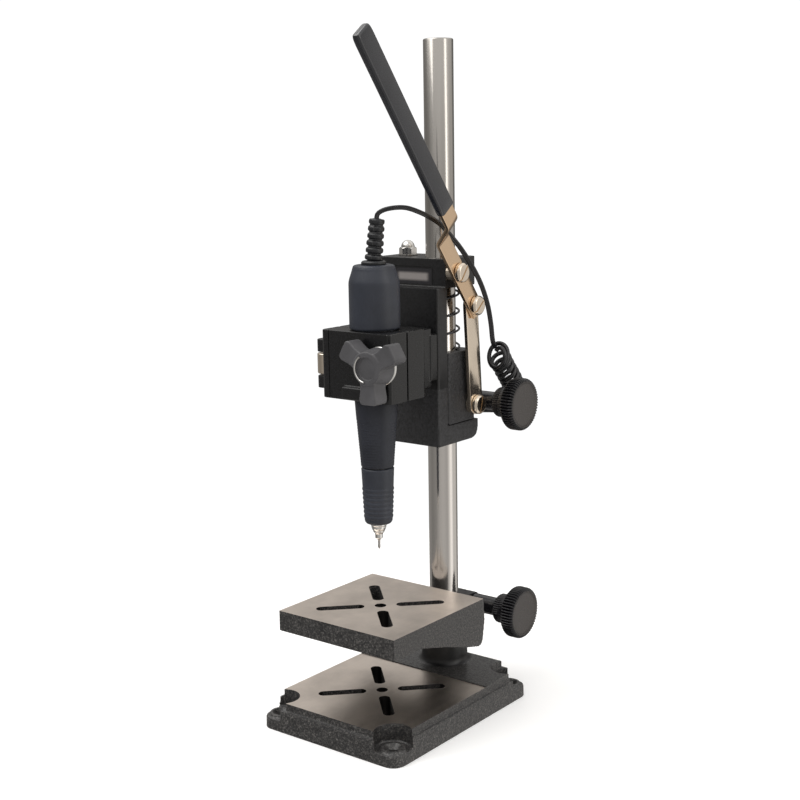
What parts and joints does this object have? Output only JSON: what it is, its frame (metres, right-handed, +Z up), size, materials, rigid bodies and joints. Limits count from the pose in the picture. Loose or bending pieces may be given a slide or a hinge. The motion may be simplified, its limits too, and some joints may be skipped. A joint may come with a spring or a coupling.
{
  "type": "bench rotary tool stand",
  "caption": "Rotary handpiece clamped in a small lever-operated bench stand with a round column, slotted work table and cast base, with a curly lead.",
  "frame": {"origin": "on the base's underside, at the column's axis", "axes": "+Z up along the column, -Y towards the handpiece and the front of the base, +X towards the clamp knobs and the lever"},
  "size_m": [0.1396, 0.2398, 0.4185],
  "materials": {
    "base_casting": "grey-black hammered paint with a ground and satin machined top face",
    "work_table": "grey-black hammered paint with a ground and satin machined top face",
    "column": "bright ground steel with fine lengthwise polish",
    "dark_steel": "blackened steel",
    "satin_steel": "satin turned steel",
    "nickel": "bright nickel plate",
    "copper": "enamelled winding",
    "black_plastic": "moulded phenolic plastic, half gloss",
    "grey_plastic": "moulded nylon, satin",
    "black_paint": "black semi-gloss paint on a casting",
    "head_frame": "black crinkle paint on a casting, smoother on its upper front",
    "label_plate": "blank dark plate",
    "handpiece_shell": "soft blue-grey moulded plastic",
    "lever_grip": "glossy dip-coated vinyl",
    "cord": "half-gloss black cable jacket"
  },
  "bodies": {
    "root": {"base_casting": "base_casting", "column": "column", "column_set_screw": "dark_steel", "cord_coil": "cord", "cord_plug": "cord"},
    "table": {"work_table": "work_table", "table_clamp_nut": "dark_steel"},
    "table_knob": {"table_knob": "black_plastic", "table_clamp_stud": "satin_steel"},
    "head": {"head_collar": "black_paint", "head_clamp_nut": "dark_steel", "return_spring": "dark_steel", "link_anchor_screw": "nickel", "link_washer": "nickel", "curly_cord": "cord", "cord_tail": "cord"},
    "head_knob": {"head_knob": "black_plastic", "head_clamp_stud": "satin_steel"},
    "slide": {"head_frame": "head_frame", "label_plate": "label_plate", "guide_rod": "satin_steel", "guide_rod_nut": "nickel", "lever_pivot_screw": "nickel", "lever_spacer": "nickel", "clamp_bracket": "black_paint", "bracket_screw_left": "dark_steel", "bracket_screw_right": "dark_steel", "hinge_pin": "nickel", "front_bearing": "satin_steel", "rear_bearing": "satin_steel", "spindle_housing": "satin_steel", "motor_bearing": "satin_steel", "motor_magnets": "dark_steel", "brush_plate": "grey_plastic", "grip_sleeve": "handpiece_shell", "motor_housing": "handpiece_shell", "rear_cap": "handpiece_shell", "strain_relief": "cord", "cord_lead": "cord"},
    "lever": {"lever_bar": "nickel", "lever_grip": "lever_grip", "lever_link_screw": "nickel"},
    "link": {"link_bar": "nickel"},
    "jaw": {"clamp_jaw": "black_paint"},
    "star": {"star_knob": "grey_plastic", "star_stud": "satin_steel", "star_washer": "nickel"},
    "nose": {"nose_ring": "handpiece_shell"},
    "spindle": {"spindle_shaft": "satin_steel", "motor_rotor": "copper", "collet": "nickel", "drill_bit": "satin_steel"}
  },
  "joints": [
    {"name": "table_height", "type": "slide", "parent": "root", "child": "table", "axis": [0, 0, 1], "range_m": [0, 0.018]},
    {"name": "table_knob_turn", "type": "hinge", "parent": "table", "child": "table_knob", "pos_m": [0, 0.0235, 0.0524], "axis": [1, 0, 0], "range_deg": [-30, 360]},
    {"name": "head_height", "type": "slide", "parent": "root", "child": "head", "axis": [0, 0, 1], "range_m": [-0.005, 0.14], "deforming": ["cord_tail"]},
    {"name": "head_knob_turn", "type": "hinge", "parent": "head", "child": "head_knob", "pos_m": [0, 0.0235, 0.1912], "axis": [1, 0, 0], "range_deg": [-30, 360]},
    {"name": "stroke", "type": "slide", "parent": "head", "child": "slide", "axis": [0, 0, -1], "range_m": [0, 0.022], "stiffness_N_per_m": 600, "springref_m": -0.04, "deforming": ["return_spring", "cord_lead"]},
    {"name": "lever_swing", "type": "hinge", "parent": "slide", "child": "lever", "pos_m": [0.0216, -0.0111, 0.2768], "axis": [1, 0, 0], "range_deg": [0, 54]},
    {"name": "link_swing", "type": "hinge", "parent": "head", "child": "link", "pos_m": [0.0188, 0.0104, 0.1908], "axis": [1, 0, 0], "range_deg": [-12, 0]},
    {"name": "star_turn", "type": "hinge", "parent": "jaw", "child": "star", "pos_m": [0.0185, -0.0838, 0.228], "axis": [0, -1, 0], "range_deg": [0, 360]},
    {"name": "jaw_open", "type": "hinge", "parent": "slide", "child": "jaw", "pos_m": [-0.033, -0.0735, 0.228], "axis": [0, 0, -1], "range_deg": [0, 1.5]},
    {"name": "nose_turn", "type": "hinge", "parent": "slide", "child": "nose", "pos_m": [0, -0.0668, 0.145], "axis": [0, 0, 1], "range_deg": [0, 90]},
    {"name": "spindle_spin", "type": "hinge", "parent": "slide", "child": "spindle", "pos_m": [0, -0.0668, 0.18], "axis": [0, 0, 1], "continuous": true}
  ],
  "couplings": [
    {"joint": "lever_swing", "follows": "stroke", "rad_per_m": 42.2},
    {"joint": "link_swing", "follows": "stroke", "rad_per_m": -9.1},
    {"joint": "jaw_open", "follows": "star_turn", "ratio": 0.004}
  ]
}
